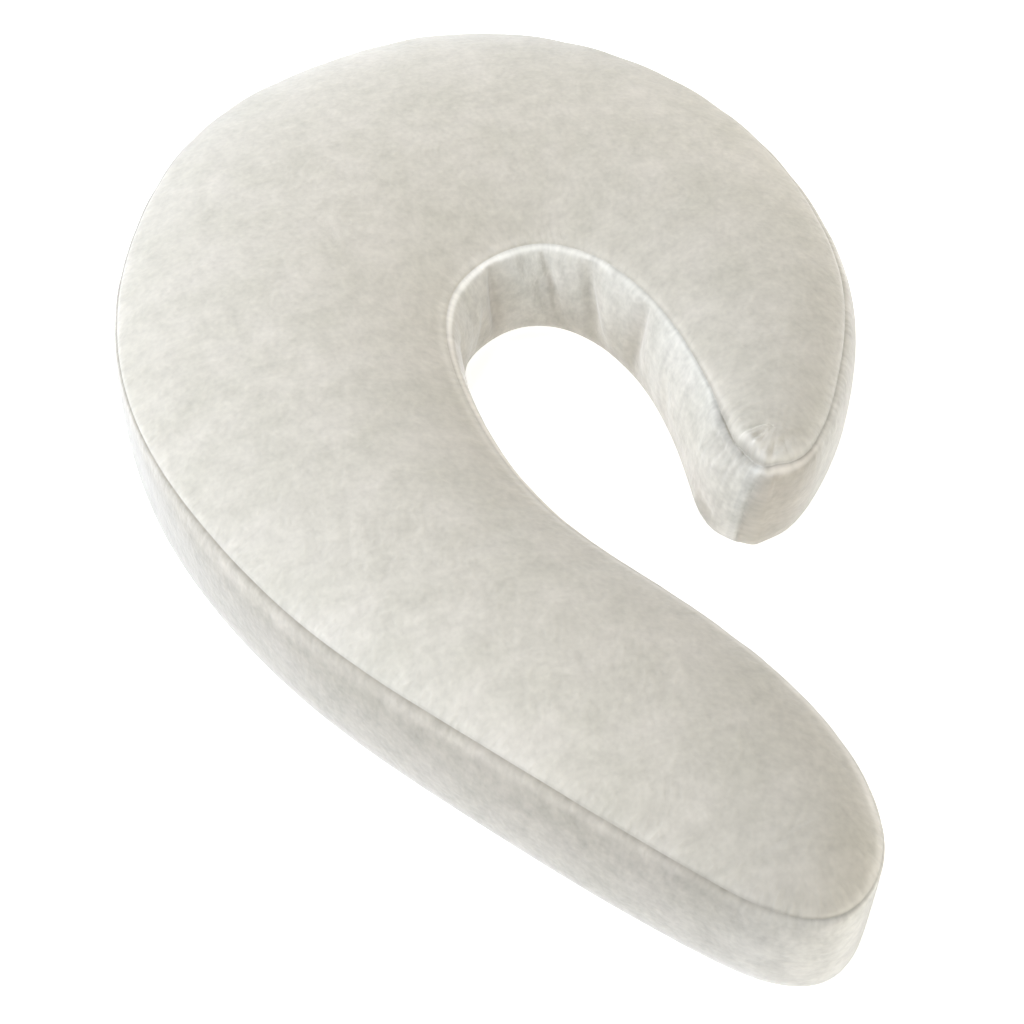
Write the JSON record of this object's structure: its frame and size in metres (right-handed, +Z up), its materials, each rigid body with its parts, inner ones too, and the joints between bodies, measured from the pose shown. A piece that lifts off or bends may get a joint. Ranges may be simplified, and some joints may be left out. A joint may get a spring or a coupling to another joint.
{
  "type": "hook-shaped body pillow",
  "caption": "Body pillow in the shape of a hook: a broad curled end to rest the head in and a long leg to lie along, boxed all round, with a crowned top panel and a flat underside.",
  "frame": {"origin": "centre of the bounding box in plan, on the surface that the pillow lies on", "axes": "+Z up out of the top panel; +Y along the pillow, from the round end of the leg to the top of the hook; +X from the body towards the side of the hook's free end"},
  "size_m": [0.9236, 1.4586, 0.192],
  "materials": {
    "velour": "ivory short-pile velour with a soft sheen, its nap brushed in small patches"
  },
  "bodies": {
    "root": {"pillow": "velour"}
  },
  "joints": []
}
